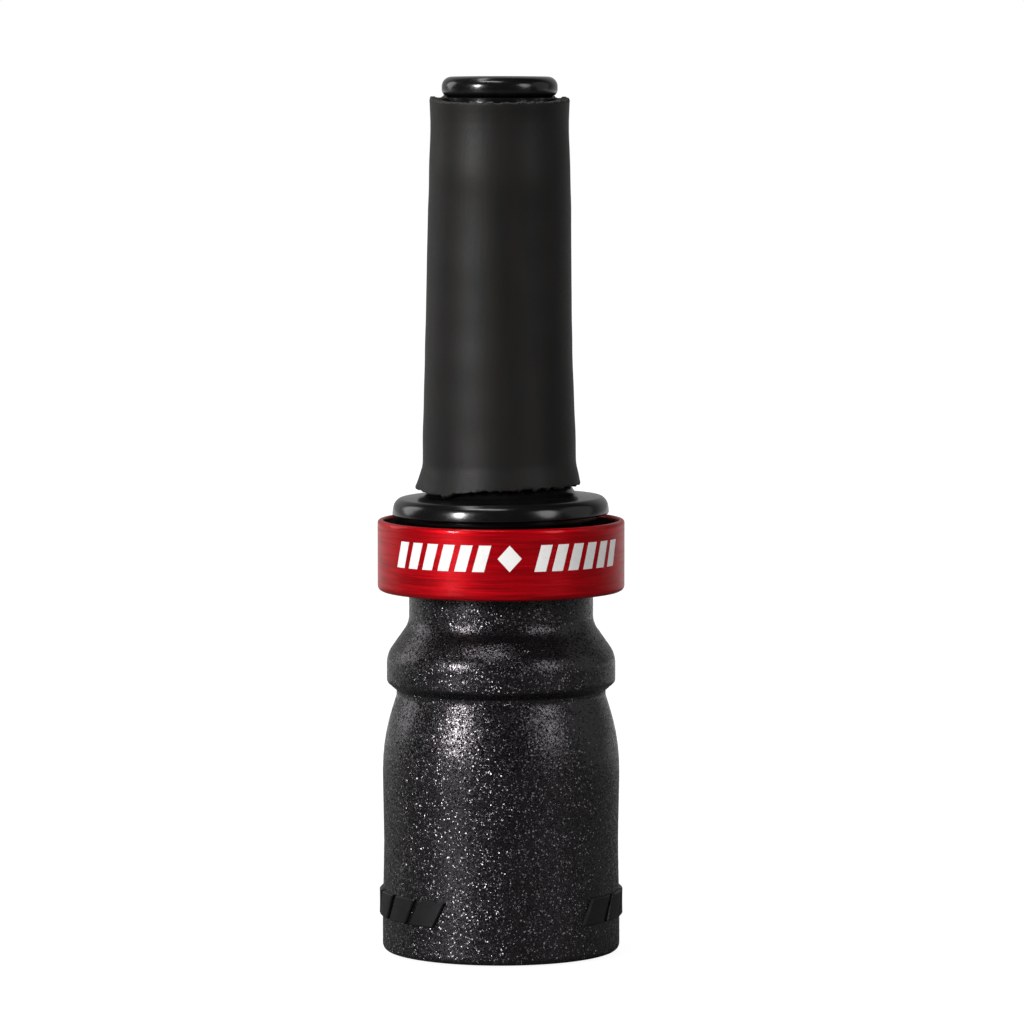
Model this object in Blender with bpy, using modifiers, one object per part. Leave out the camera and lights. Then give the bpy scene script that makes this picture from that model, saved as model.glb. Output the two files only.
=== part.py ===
"""A bite-style grunt call: a stippled barrel with an open bell, a red band round its socket head, and a
mouthpiece that plugs into the socket. The mouthpiece's stem carries a rubber bite sleeve over a window, and
inside it a tone board holds the reed.

The call stands upright on the rim of its bell. The origin is the centre of that rim, +Z runs up the call to
the mouth, and -Y is the side that the bite window and the reed face.
"""

import math

import bmesh
import bpy
from mathutils import Matrix, Vector

MM = 0.001  # the sizes below are in millimetres, and the meshes are in metres
COLLECTION = "grunt_call"
SIDES = 36  # facets round a turned piece
RING_SIDES = 32  # facets round an O-ring
RING_SECTION_SIDES = 8
ARC_STEP = math.radians(35)  # one segment of a rounded corner turns no further than this
ARC_LENGTH = 2.6  # and is no longer than this
MERGE = 1e-6
GAP = 0.3  # between pieces that touch
PLAY = 0.08  # round an O-ring in its groove and against its bore
OVERCUT = 1.0  # how far a cutter runs past what it cuts
CORE_R = 0.8  # a turned blank's hole where a cutter opens it or cuts it away

# Barrel, from the bell's rim upwards
RIM_OUTER_R = 16.41
RIM_INNER_R = 14.1
WAIST_R = 16.19
WAIST_Z = 15.1
SHOULDER_R = 16.36
SHOULDER_Z = 23.7
BELL_TOP_Z = 29.45
GROOVE_R = 14.45
GROOVE_Z = 35.85
GROOVE_HALF_FLOOR = 0.36
BULGE_R = 15.79
BULGE_BOTTOM_Z = 37.37
BULGE_TOP_Z = 41.15
NECK_R = 12.71
NECK_Z = 45.5
HEAD_R = 16.0
HEAD_BOTTOM_Z = 50.3
HEAD_TOP_Z = 59.4
BELL_WALL_R = 13.6
BELL_WALL_TOP_Z = 24.7
THROAT_R = 9.9
THROAT_Z = 35.0
SOCKET_R = 10.9
SOCKET_FLOOR_Z = 38.2

# Raised grip pads moulded on both sides of the bell
PAD_R = 16.84
PAD_BOTTOM_Z = 5.0
PAD_HEIGHT = 3.6
PAD_COUNT = 6  # on each side
PAD_PITCH = 17.8  # degrees
PAD_WIDTH = 14.6  # degrees
PAD_LEAN = 0.55  # sideways travel for each millimetre of height
PAD_TURN = 4.0  # degrees, how far both rows are turned from the X axis
PAD_DEPTH = 1.2  # how deep a pad's solid reaches, past the bell's surface
PAD_FACETS = 3  # round each pad

# Band
BAND_R = 17.07
BAND_WALL = 0.8
BAND_BOTTOM_Z = 50.0
BAND_TOP_Z = 59.8

# Mouthpiece tube: spigot, collar, stem and lip
SPIGOT_R = 10.55
SPIGOT_BOTTOM_Z = 38.5
COLLAR_DOME = ((14.05, 62.85, 0.9), (14.72, 62.2, 1.5), (14.9, 61.3, 4.0), (14.97, 60.5, 0.25))
COLLAR_EDGE_Z = COLLAR_DOME[-1][1]
COLLAR_FOOT_R = 13.4  # set back under the dome's edge
COLLAR_FOOT_Z = HEAD_TOP_Z + GAP
COVE_FLARE_Z = 63.33
COVE_TOP_Z = 65.3
COVE_R = 1.0
STEM_FOOT_R = 9.3
STEM_PLAY = 0.2  # between the stem and the sleeve pulled over it
STEM_NECK_R = 7.2
STEM_NECK_HEIGHT = 1.3
LIP_R = 7.95
LIP_BOTTOM_Z = 118.0
TOTAL_HEIGHT = 120.7
MOUTH_BORE_R = 5.6
CHAMBER_R = 6.5
CHAMBER_TOP_Z = 110.0
BUTT_BORE_R = 7.0
BUTT_BORE_TOP_Z = 74.0
PLUG_BORE_R = 7.4
PLUG_BORE_TOP_Z = 52.0
WINDOW_BOTTOM_Z = 77.0
WINDOW_TOP_Z = 105.0
WINDOW_WIDTH = 9.0
WINDOW_CUT_NEAR = 3.0  # the window's cutter reaches from this far in front of the axis
WINDOW_CUT_FAR = 11.0  # to this far

# Bite sleeve: (outer radius, height) where its slope changes
SLEEVE_WALL = 1.5
SLEEVE_TOP_Z = 117.9
SLEEVE_BOTTOM_Z = 64.45
SLEEVE_LINE = ((9.67, SLEEVE_TOP_Z), (9.46, 114.6), (9.84, 103.1), (10.06, 87.1), (10.62, 67.4))
SLEEVE_HEM_R = 11.48

# O-rings
SPIGOT_ORING_R = 0.75  # radius of the ring's section
SPIGOT_ORING_ZS = (54.4, 43.4)
INSERT_ORING_R = 0.55
INSERT_ORING_Z = 45.5
REED_BAND_R = 0.45
REED_BAND_Z = 66.0
SEAT_PLAY = 0.15  # on each side of a ring in its groove

# Tone board, reed and wedge
BOARD_R = 5.9
BOARD_TOP_Z = 108.5
BAND_SEAT_R = 5.5  # floor of the reed band's groove, in the board and in the wedge
ROOT_R = 6.3
ROOT_TOP_Z = 60.0
PLUG_R = 7.1
PLUG_TOP_Z = PLUG_BORE_TOP_Z - GAP
PLUG_BOTTOM_Z = 38.9
LAY_START_Z = 72.0
LAY_DROP = 1.15
LAY_STEPS = 8
CHANNEL_WIDTH = 4.4
CHANNEL_DEPTH = 3.0
CHANNEL_BOTTOM_Z = 60.6
CHANNEL_TOP_Z = 104.0
BORE_R = 2.1
BORE_SIDES = 20
REED_THICKNESS = 0.35
REED_GAP = 0.325  # to the board behind the reed and to the wedge in front of it
REED_WIDTH = 9.4
REED_TOP_Z = 107.0
REED_BOTTOM_Z = 64.0
REED_HINGE_Z = 70.0
REED_TIP_ROUND = 2.5
WEDGE_R = 6.2
WEDGE_TOP_Z = 69.7
WEDGE_FACE_Y = -(REED_THICKNESS + 2 * REED_GAP)


def clear_scene():
    for obj in list(bpy.data.objects):
        bpy.data.objects.remove(obj)


def new_collection(name):
    collection = bpy.data.collections.new(name)
    bpy.context.scene.collection.children.link(collection)
    return collection


def material(name, colour, roughness, metallic=0.0):
    made = bpy.data.materials.new(name)
    made.use_nodes = True
    shader = made.node_tree.nodes["Principled BSDF"]
    shader.inputs["Base Color"].default_value = (*colour, 1.0)
    shader.inputs["Roughness"].default_value = roughness
    shader.inputs["Metallic"].default_value = metallic
    made.diffuse_color = (*colour, 1.0)
    return made


def rounded(corners):
    """The points of a closed outline from its (a, b) or (a, b, fillet radius) corners, each fillet an arc."""
    points = []
    for i, corner in enumerate(corners):
        here = Vector(corner[:2])
        before = Vector(corners[i - 1][:2]) - here
        after = Vector(corners[(i + 1) % len(corners)][:2]) - here
        turn = math.pi - before.angle(after)
        radius = corner[2] if len(corner) > 2 else 0
        if radius <= 0 or turn < 1e-4:
            points.append(here)
            continue
        tangent = radius * math.tan(turn / 2)
        start = here + before.normalized() * tangent
        end = here + after.normalized() * tangent
        middle = (before.normalized() + after.normalized()).normalized()
        centre = here + middle * (radius / math.cos(turn / 2))
        steps = math.ceil(max(turn / ARC_STEP, turn * radius / ARC_LENGTH))
        for k in range(steps + 1):
            to_start = math.sin(turn * (1 - k / steps)) / math.sin(turn)
            to_end = math.sin(turn * k / steps) / math.sin(turn)
            points.append(centre + to_start * (start - centre) + to_end * (end - centre))
    return points


def add(collection, name, data, mat=None):
    obj = bpy.data.objects.new(name, data)
    collection.objects.link(obj)
    if mat:
        data.materials.append(mat)
    return obj


def move_to(collection, obj):
    for old in list(obj.users_collection):
        old.objects.unlink(obj)
    collection.objects.link(obj)


def as_helper(obj):
    obj.hide_render = True
    obj.display_type = "WIRE"
    return obj


def turned(collection, name, corners, mat):
    """A piece turned about +Z. Its (radius, height) corners run down the outside and back up the inside."""
    mesh = bpy.data.meshes.new(name)
    points = [(r * MM, 0, z * MM) for r, z in rounded(corners)]
    mesh.from_pydata(points, [(i, (i + 1) % len(points)) for i in range(len(points))], [])
    obj = add(collection, name, mesh, mat)
    screw = obj.modifiers.new("Turn", "SCREW")
    screw.steps = SIDES
    screw.render_steps = SIDES
    screw.use_merge_vertices = True
    screw.merge_threshold = MERGE
    screw.use_smooth_shade = True
    return obj


def oring(collection, name, centre_r, section_r, z, mat):
    """A rubber ring round the +Z axis."""
    bpy.ops.mesh.primitive_torus_add(
        location=(0, 0, z * MM),
        major_segments=RING_SIDES,
        minor_segments=RING_SECTION_SIDES,
        major_radius=centre_r * MM,
        minor_radius=section_r * MM,
    )
    obj = bpy.context.object
    move_to(collection, obj)
    obj.name = name
    obj.data.name = name
    obj.data.materials.append(mat)
    obj.data.shade_smooth()
    return obj


def flat_curve(name, points, thickness):
    """A filled flat outline in its own XY plane, as thick as asked, half to each side of the plane."""
    curve = bpy.data.curves.new(name, "CURVE")
    curve.dimensions = "2D"
    curve.fill_mode = "BOTH"
    curve.extrude = thickness * MM / 2
    spline = curve.splines.new("POLY")
    spline.points.add(len(points) - 1)
    for target, (a, b) in zip(spline.points, points):
        target.co = (a * MM, b * MM, 0, 1)
    spline.use_cyclic_u = True
    return curve


def cutter(collection, name, points, thickness, placed):
    """A closed mesh of that outline, moved by the matrix `placed`, for a Boolean to cut with."""
    curve = flat_curve(name, points, thickness)
    source = add(collection, name + "_outline", curve)
    bpy.context.view_layer.update()
    graph = bpy.context.evaluated_depsgraph_get()
    mesh = bpy.data.meshes.new_from_object(source.evaluated_get(graph))
    bpy.data.objects.remove(source)
    solid = bmesh.new()
    solid.from_mesh(mesh)
    bmesh.ops.remove_doubles(solid, verts=solid.verts, dist=MERGE)
    bmesh.ops.recalc_face_normals(solid, faces=solid.faces)
    solid.to_mesh(mesh)
    solid.free()
    obj = add(collection, name, mesh)
    obj.matrix_world = placed
    return as_helper(obj)


def boolean(target, other, operation):
    made = target.modifiers.new(other.name, "BOOLEAN")
    made.operation = operation
    made.solver = "EXACT"
    made.object = other
    return made


def facing_x():
    """Puts an outline's (a, b) at (y, z) and its thickness along X."""
    return Matrix(((0, 0, 1, 0), (1, 0, 0, 0), (0, 1, 0, 0), (0, 0, 0, 1)))


def facing_y(y):
    """Puts an outline's (a, b) at (x, z) and its thickness along Y, with its middle at y."""
    return Matrix(((1, 0, 0, 0), (0, 0, -1, y * MM), (0, 1, 0, 0), (0, 0, 0, 1)))


def pad_surface(centre_degrees):
    """One slanted pad's outer skin, a curved patch: its lower and its upper row of points."""
    rows = []
    for level in (0, PAD_HEIGHT):
        lean = math.degrees(PAD_LEAN * level / PAD_R)
        row = []
        for k in range(PAD_FACETS + 1):
            angle = math.radians(centre_degrees + lean + PAD_WIDTH * (k / PAD_FACETS - 0.5))
            row.append(Vector((PAD_R * math.cos(angle), PAD_R * math.sin(angle), PAD_BOTTOM_Z + level)) * MM)
        rows.append(row)
    return rows


def make_pads(cutters):
    """Both rows of slanted pads in one mesh, for the barrel to be joined with."""
    shape = bmesh.new()
    middle = (PAD_COUNT - 1) / 2
    for side in (0, 180):
        for i in range(PAD_COUNT):
            rows = pad_surface(side + PAD_TURN + PAD_PITCH * (i - middle))
            low, high = [[shape.verts.new(point) for point in row] for row in rows]
            for k in range(PAD_FACETS):
                shape.faces.new((low[k], low[k + 1], high[k + 1], high[k]))
    mesh = bpy.data.meshes.new("pads")
    shape.to_mesh(mesh)
    shape.free()
    pads = add(cutters, "pads", mesh)
    wall = pads.modifiers.new("Thickness", "SOLIDIFY")
    wall.thickness = PAD_DEPTH * MM
    wall.offset = -1
    return as_helper(pads)


def make_barrel(parts, cutters, mat):
    # Each corner is a radius, a height and, where it is rounded, its fillet
    corners = [
        (HEAD_R, HEAD_TOP_Z, 0.4),
        (HEAD_R, HEAD_BOTTOM_Z, 0.3),
        (NECK_R, HEAD_BOTTOM_Z, 0.8),
        (NECK_R, NECK_Z, 3.5),
        (BULGE_R, BULGE_TOP_Z, 4.0),
        (BULGE_R, BULGE_BOTTOM_Z, 0.7),
        (GROOVE_R, GROOVE_Z + GROOVE_HALF_FLOOR, 0.4),
        (GROOVE_R, GROOVE_Z - GROOVE_HALF_FLOOR, 0.4),
        (SHOULDER_R, BELL_TOP_Z, 28.0),
        (SHOULDER_R, SHOULDER_Z),
        (WAIST_R, WAIST_Z, 120.0),
        (RIM_OUTER_R, PAD_BOTTOM_Z, 40.0),
        (RIM_OUTER_R, 0, 0.9),
        (RIM_INNER_R, 0, 0.5),
        (BELL_WALL_R, BELL_WALL_TOP_Z, 12.0),
        (THROAT_R, THROAT_Z, 5.0),
        (THROAT_R, SOCKET_FLOOR_Z, 0.3),
        (SOCKET_R, SOCKET_FLOOR_Z, 0.2),
        (SOCKET_R, HEAD_TOP_Z, 0.6),
    ]
    barrel = turned(parts, "barrel", corners, mat)
    boolean(barrel, make_pads(cutters), "UNION")


def make_band(parts, mat):
    inner = BAND_R - BAND_WALL
    corners = [
        (BAND_R, BAND_TOP_Z, 0.4),
        (BAND_R, BAND_BOTTOM_Z, 0.7),
        (inner, BAND_BOTTOM_Z, 0.1),
        (inner, BAND_TOP_Z, 0.15),
    ]
    turned(parts, "accent_band", corners, mat)


def groove(outer_r, floor_r, z, section_r):
    """The corners of a square groove for a ring, in a wall whose corners run downwards."""
    half_width = section_r + SEAT_PLAY
    return [
        (outer_r, z + half_width),
        (floor_r, z + half_width),
        (floor_r, z - half_width),
        (outer_r, z - half_width),
    ]


def seal_floor_r(bore_r, section_r):
    """The radius of the groove floor under an O-ring that seals in a bore."""
    return bore_r - 2 * (section_r + PLAY)


def slot_outline(width, bottom, top, round_bottom=True):
    """An upright slot centred on a = 0, with a round top and, unless told otherwise, a round bottom."""
    half = width / 2
    radius = 0.998 * half  # a full half-circle would leave two fillets meeting in one point
    low = radius if round_bottom else 0
    return rounded([(-half, bottom, low), (half, bottom, low), (half, top, radius), (-half, top, radius)])


def make_tube(parts, cutters, mat):
    stem = [(r - SLEEVE_WALL - STEM_PLAY, z) for r, z in SLEEVE_LINE[1:]]
    corners = [
        (LIP_R, TOTAL_HEIGHT, 1.35),
        (LIP_R, LIP_BOTTOM_Z, 0.5),
        (STEM_NECK_R, LIP_BOTTOM_Z, 0.2),
        (STEM_NECK_R, LIP_BOTTOM_Z - STEM_NECK_HEIGHT),
        *stem,
        (STEM_FOOT_R, COVE_TOP_Z, 1.0),
        (STEM_FOOT_R + COVE_R, COVE_FLARE_Z, 1.2),
        *COLLAR_DOME,
        (COLLAR_FOOT_R, COLLAR_EDGE_Z, 0.2),
        (COLLAR_FOOT_R, COLLAR_FOOT_Z, 0.2),
        (SPIGOT_R, COLLAR_FOOT_Z, 0.2),
    ]
    for z in SPIGOT_ORING_ZS:
        corners += groove(SPIGOT_R, seal_floor_r(SOCKET_R, SPIGOT_ORING_R), z, SPIGOT_ORING_R)
    corners += [
        (SPIGOT_R, SPIGOT_BOTTOM_Z, 0.6),
        (PLUG_BORE_R, SPIGOT_BOTTOM_Z, 0.4),
        (PLUG_BORE_R, PLUG_BORE_TOP_Z),
        (BUTT_BORE_R, PLUG_BORE_TOP_Z),
        (BUTT_BORE_R, BUTT_BORE_TOP_Z),
        (CHAMBER_R, BUTT_BORE_TOP_Z + 1.0),
        (CHAMBER_R, CHAMBER_TOP_Z),
        (MOUTH_BORE_R, CHAMBER_TOP_Z + 1.5),
        (MOUTH_BORE_R, TOTAL_HEIGHT, 0.6),
    ]
    tube = turned(parts, "mouthpiece_tube", corners, mat)
    outline = slot_outline(WINDOW_WIDTH, WINDOW_BOTTOM_Z, WINDOW_TOP_Z)
    middle_y = -(WINDOW_CUT_NEAR + WINDOW_CUT_FAR) / 2
    window = cutter(cutters, "bite_window", outline, WINDOW_CUT_FAR - WINDOW_CUT_NEAR, facing_y(middle_y))
    boolean(tube, window, "DIFFERENCE")


def make_sleeve(parts, mat):
    outside = [(*SLEEVE_LINE[0], 0.3), *((r, z, 30.0) for r, z in SLEEVE_LINE[1:-1])]
    outside += [(*SLEEVE_LINE[-1], 5.0), (SLEEVE_HEM_R, SLEEVE_BOTTOM_Z, 0.2)]
    inside = [(SLEEVE_HEM_R - SLEEVE_WALL, SLEEVE_BOTTOM_Z, 0.2)]
    inside += [(r - SLEEVE_WALL, z) for r, z in reversed(SLEEVE_LINE)]
    turned(parts, "bite_sleeve", outside + inside, mat)


def lay_y(z):
    """How far behind y = 0 the tone board's face has curved away at height z."""
    share = max(0.0, (z - LAY_START_Z) / (BOARD_TOP_Z - LAY_START_Z))
    return LAY_DROP * share**2


def make_tone_board(parts, cutters, mat):
    corners = [
        (BOARD_R, BOARD_TOP_Z, 0.5),
        *groove(BOARD_R, BAND_SEAT_R, REED_BAND_Z, REED_BAND_R),
        (BOARD_R, ROOT_TOP_Z),
        (ROOT_R, ROOT_TOP_Z),
        (ROOT_R, PLUG_TOP_Z),
        (PLUG_R, PLUG_TOP_Z, 0.3),
        *groove(PLUG_R, seal_floor_r(PLUG_BORE_R, INSERT_ORING_R), INSERT_ORING_Z, INSERT_ORING_R),
        (PLUG_R, PLUG_BOTTOM_Z, 0.5),
        (CORE_R, PLUG_BOTTOM_Z),
        (CORE_R, BOARD_TOP_Z),
    ]
    board = turned(parts, "tone_board", corners, mat)

    front = -(PLUG_R + OVERCUT)
    top = BOARD_TOP_Z + OVERCUT
    heights = [LAY_START_Z + (BOARD_TOP_Z - LAY_START_Z) * k / LAY_STEPS for k in range(LAY_STEPS + 1)]
    face = [(front, ROOT_TOP_Z), (0, ROOT_TOP_Z)]
    face += [(lay_y(z), z) for z in heights] + [(LAY_DROP, top), (front, top)]
    boolean(board, cutter(cutters, "reed_face", face, 4 * PLUG_R, facing_x()), "DIFFERENCE")

    channel = slot_outline(CHANNEL_WIDTH, CHANNEL_BOTTOM_Z, CHANNEL_TOP_Z, round_bottom=False)
    middle_y = (CHANNEL_DEPTH - OVERCUT) / 2
    slot = cutter(cutters, "tone_channel", channel, CHANNEL_DEPTH + OVERCUT, facing_y(middle_y))
    boolean(board, slot, "DIFFERENCE")

    bpy.ops.mesh.primitive_cylinder_add(
        vertices=BORE_SIDES,
        radius=BORE_R * MM,
        depth=(CHANNEL_BOTTOM_Z - PLUG_BOTTOM_Z + 2 * OVERCUT) * MM,
        location=(0, (CHANNEL_DEPTH - CHANNEL_WIDTH / 2) * MM, (CHANNEL_BOTTOM_Z + PLUG_BOTTOM_Z) / 2 * MM),
    )
    bore = bpy.context.object
    bore.name = "tone_bore"
    move_to(cutters, bore)
    boolean(board, as_helper(bore), "DIFFERENCE")


def make_wedge(parts, cutters, mat):
    bottom = ROOT_TOP_Z + GAP
    corners = [
        (WEDGE_R, WEDGE_TOP_Z, 1.2),
        *groove(WEDGE_R, BAND_SEAT_R, REED_BAND_Z, REED_BAND_R),
        (WEDGE_R, bottom, 0.3),
        (CORE_R, bottom),
        (CORE_R, WEDGE_TOP_Z),
    ]
    wedge = turned(parts, "reed_wedge", corners, mat)
    back = WEDGE_R + OVERCUT
    below = bottom - OVERCUT
    above = WEDGE_TOP_Z + OVERCUT
    keep_out = [(WEDGE_FACE_Y, below), (back, below), (back, above), (WEDGE_FACE_Y, above)]
    boolean(wedge, cutter(cutters, "wedge_face", keep_out, 4 * WEDGE_R, facing_x()), "DIFFERENCE")


def make_reed(parts, mat):
    half = REED_WIDTH / 2
    low = REED_BOTTOM_Z - REED_HINGE_Z
    high = REED_TOP_Z - REED_HINGE_Z
    outline = rounded(
        [(-half, low), (half, low), (half, high, REED_TIP_ROUND), (-half, high, REED_TIP_ROUND)]
    )
    reed = add(parts, "reed", flat_curve("reed", outline, REED_THICKNESS), mat)
    middle_y = -(REED_GAP + REED_THICKNESS / 2)
    reed.location = (0, middle_y * MM, REED_HINGE_Z * MM)
    reed.rotation_euler = (math.radians(90), 0, 0)


def main():
    clear_scene()
    parts = new_collection(COLLECTION)
    cutters = new_collection("cutters")
    stippled = material("stippled_black", (0.018, 0.017, 0.018), 0.42)
    glossy = material("gloss_black", (0.008, 0.008, 0.009), 0.12)
    red = material("red_anodised", (0.55, 0.012, 0.02), 0.28, 1.0)
    rubber = material("sleeve_rubber", (0.022, 0.021, 0.02), 0.62)
    seal = material("oring_rubber", (0.012, 0.012, 0.012), 0.5)
    board = material("tone_board_plastic", (0.05, 0.05, 0.055), 0.35)
    cork = material("wedge_cork", (0.42, 0.27, 0.15), 0.8)
    film = material("reed_film", (0.75, 0.72, 0.62), 0.25)

    make_barrel(parts, cutters, stippled)
    make_band(parts, red)
    make_tube(parts, cutters, glossy)
    make_sleeve(parts, rubber)
    make_tone_board(parts, cutters, board)
    make_wedge(parts, cutters, cork)
    make_reed(parts, film)

    spigot_ring_r = SOCKET_R - PLAY - SPIGOT_ORING_R
    for name, z in zip(("spigot_oring_upper", "spigot_oring_lower"), SPIGOT_ORING_ZS):
        oring(parts, name, spigot_ring_r, SPIGOT_ORING_R, z, seal)
    oring(parts, "insert_oring", PLUG_BORE_R - PLAY - INSERT_ORING_R, INSERT_ORING_R, INSERT_ORING_Z, seal)
    oring(parts, "reed_band", BAND_SEAT_R + PLAY + REED_BAND_R, REED_BAND_R, REED_BAND_Z, seal)


main()
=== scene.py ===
"""The looks of the grunt call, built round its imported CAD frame: a stippled barrel, a turned red band with a
printed bar pattern, a glossy mouthpiece, a cut rubber bite sleeve and the reed assembly inside."""

import math

import bmesh
import bpy
import numpy as np
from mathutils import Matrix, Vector


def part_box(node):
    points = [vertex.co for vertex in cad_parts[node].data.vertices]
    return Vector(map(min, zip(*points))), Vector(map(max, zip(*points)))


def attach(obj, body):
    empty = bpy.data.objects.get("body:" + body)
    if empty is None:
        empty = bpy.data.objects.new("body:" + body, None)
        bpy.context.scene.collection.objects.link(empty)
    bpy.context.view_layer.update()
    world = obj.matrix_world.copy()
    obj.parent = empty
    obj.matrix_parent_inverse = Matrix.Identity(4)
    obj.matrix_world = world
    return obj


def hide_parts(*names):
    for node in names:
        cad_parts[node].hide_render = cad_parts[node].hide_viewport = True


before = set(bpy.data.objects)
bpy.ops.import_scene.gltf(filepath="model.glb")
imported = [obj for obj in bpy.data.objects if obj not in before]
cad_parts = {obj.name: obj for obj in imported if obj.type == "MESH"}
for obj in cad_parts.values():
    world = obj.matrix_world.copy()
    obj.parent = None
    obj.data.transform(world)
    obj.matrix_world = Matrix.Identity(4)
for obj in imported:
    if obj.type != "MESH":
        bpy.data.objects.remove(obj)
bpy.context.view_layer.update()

MM = 0.001  # outlines below are (radius, height) in millimetres, as the frame has them

# Grids: facets round each piece, and distances between points in millimetres
BARREL_SIDES = 328
BAND_SIDES = 256
TUBE_SIDES = 192
SLEEVE_SIDES = 400
ORING_SIDES = 144
ORING_POINTS = 28  # round the O-ring's section
BOARD_SIDES = 128
WEDGE_SIDES = 96
BORE_SIDES = 48
ARC_STEP = math.radians(9)  # one segment of a fillet turns no further than this
BARREL_ARC_STEP = math.radians(4)
SLEEVE_ARC_STEP = math.radians(3)
STRAIGHT = 1e-4  # radians; a corner that turns less has no fillet
GRAIN_SPACING = 0.285  # between the vertices that carry the barrel's stipple
COARSE_SPACING = 1.2
BAND_SPACING = 0.35
CUT_SPACING = 0.14  # at the sleeve's cut ends
SKIN_SPACING = 0.45  # down the sleeve's outside
LINING_SPACING = 1.6  # up its inside
CROWDED = 0.45  # a point nearer than this share of the spacing is left out
SHORTEST = 1e-7  # shorter steps of an outline are left out
SLIVER = 2e-6  # metres; thinner faces left by a cut are removed

# What the frame says, in millimetres
BAND_LOW, BAND_HIGH = (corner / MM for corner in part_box("accent_band"))
BARREL_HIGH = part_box("barrel")[1] / MM
TUBE_LOW, TUBE_HIGH = (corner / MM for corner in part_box("mouthpiece_tube"))
SLEEVE_LOW, SLEEVE_HIGH = (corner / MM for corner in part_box("bite_sleeve"))
BAND_R = BAND_HIGH.x
HEAD_TOP_Z = BARREL_HIGH.z

# Barrel
HEAD_R = 16.0
HEAD_BOTTOM_Z = 50.3
HEAD_TOP_DEPTH = 0.15  # faces no further than this below the head's top are rubbed dull
NECK_R = 12.71
RIB_R = 15.79
GROOVE_R = 14.45
BELL_R = 16.36
FOOT_R = 16.41
BELL_BORE_R = 13.6
THROAT_R = 9.9
SOCKET_R = 10.9
SOCKET_FLOOR_Z = 38.2
INWARD = -0.3  # a face is on the inside if its normal's outward part is less than this
OUTWARD = 0.9  # and looks straight out if it is more than this
LEVEL = 0.5  # and up or down if it is less than this either way
BARREL_SEED = 11
STIPPLE_HEIGHT = 0.019
STIPPLE_CONTRAST = 0.7  # how much of its neighbours' mean is taken from each grain
GLINT_SIZE = 0.16  # across one flat-faced grain
GLINT_TILT = 0.70  # the most that a grain's face leans each way, as a slope
GLINT_BIAS = 2.3  # above 1, more grains lie nearly flat
RIM_FLAT_Z = 0.25
HIDDEN_LOW_Z = BAND_LOW.z + 0.6  # the band hides the head's side between these heights
HIDDEN_HIGH_Z = HEAD_TOP_Z - 0.4

# Raised pads on both sides of the bell
PAD_R = 16.84
PAD_SEAT_R = 15.9  # the pads' solids reach in to here
PAD_BOTTOM_Z = 5.0
PAD_HEIGHT = 3.6
PAD_COUNT = 6
PAD_PITCH = 17.8  # degrees
PAD_WIDTH = 14.6  # degrees
PAD_LEAN = 0.55  # sideways travel for each millimetre of height
PAD_TURN = 4.0  # degrees
PAD_EDGE = 0.16
PAD_COLUMNS = 8

# Band, and the bars printed on it
BAND_WALL = 0.8
PRINT_LOW_Z = 54.05
PRINT_HEIGHT = 3.6
PRINT_LEAN = 0.28
PRINT_THICKNESS = 0.02
BAR_WIDTH = 1.65
BAR_PITCH = 2.54
BARS = 6  # in each group
LEFT_START = -56.0  # degrees from the front
RIGHT_START = 15.3
DIAMOND_AT = 3.9
DIAMOND_WIDTH = 3.3

# Mouthpiece tube
LIP_R = 7.95
LIP_BOTTOM_Z = 118.0
LIP_BORE_R = 5.6
LIP_NECK_R = 7.2
STEM_BORE_R = 6.5
STEM_FOOT_R = 10.3
COLLAR_R = 14.97
COLLAR_BOTTOM_Z = 60.5
COLLAR_STEP_R = 13.4
SPIGOT_TOP_Z = 59.7
SPIGOT_R = 10.55
SPIGOT_BORE_R = 7.4
SEAL_FLOOR_R = 9.24
SEAL_HEIGHTS = (54.4, 43.4)
SEAL_HALF = 0.9
SEAT_R = 7.0
SEAT_LOW_Z = 52.0
SEAT_HIGH_Z = 74.0
WINDOW_WIDTH = 9.0
WINDOW_LOW_Z = 77.0
WINDOW_HIGH_Z = 105.0
WINDOW_DEPTHS = (3.0, 11.0)  # the window's cutter, from and to this far in front of the axis
LEAN_HEIGHTS = (38.5, 61.0, 70.0, 83.0, 97.0, 120.7)
LEAN_SHIFTS = (0.0, -0.05, -0.15, -0.20, -0.18, -0.18)
COLLAR_TILT = 0.011
TILT_HEIGHTS = (59.0, 60.0, 64.5, 74.0)
TILT_SHARES = (0.3, 1.0, 1.0, 0.0)
FLASH = 0.012  # the O-rings' mould line stands this proud

# Sleeve
SLEEVE_WALL = 1.5
SLEEVE_LINE = ((9.67, SLEEVE_HIGH.z), (9.46, 114.6), (9.84, 103.1), (10.06, 87.1), (10.62, 67.4))
SLEEVE_HEM_R = SLEEVE_HIGH.x
STEM_PLAY = 0.2
BEND_HEIGHTS = (64.45, 65.6, 67.3, 70.0, 83.0, 97.0, 104.0, 117.9)
BEND_SHIFTS = (-0.47, -0.33, -0.23, -0.25, -0.33, -0.25, -0.18, -0.19)
WOBBLES = ((0.03, 0.41, 0.0), (0.02, 0.93, 1.0))  # out of round: size, radians a millimetre, phase
WOBBLE_TWIST = 0.05  # radians a millimetre
SLEEVE_SEED = 5
CUT_REACH = 1.1  # the fine grid goes this far from each end
CUT_FACE = 0.3  # the cut faces lie within this of their end
CUT_LEVEL = 0.75  # and their normals' upright part is more than this
CUT_GRIT = 0.02
GRIT_REACH = 0.25
TOP_CUT = 0.35  # the top is cut on a slant, this much lower at the sides and twice as much at the front
TOP_WAVE = 0.06
TOP_HARMONICS = range(2, 9)
TOP_REACH = 2.2  # how far down the slant is felt
HEM_ANGLES = (0, 90, 180, 204, 212, 225, 232, 240, 248, 256, 265, 277, 303, 360)  # degrees round from +X
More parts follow.
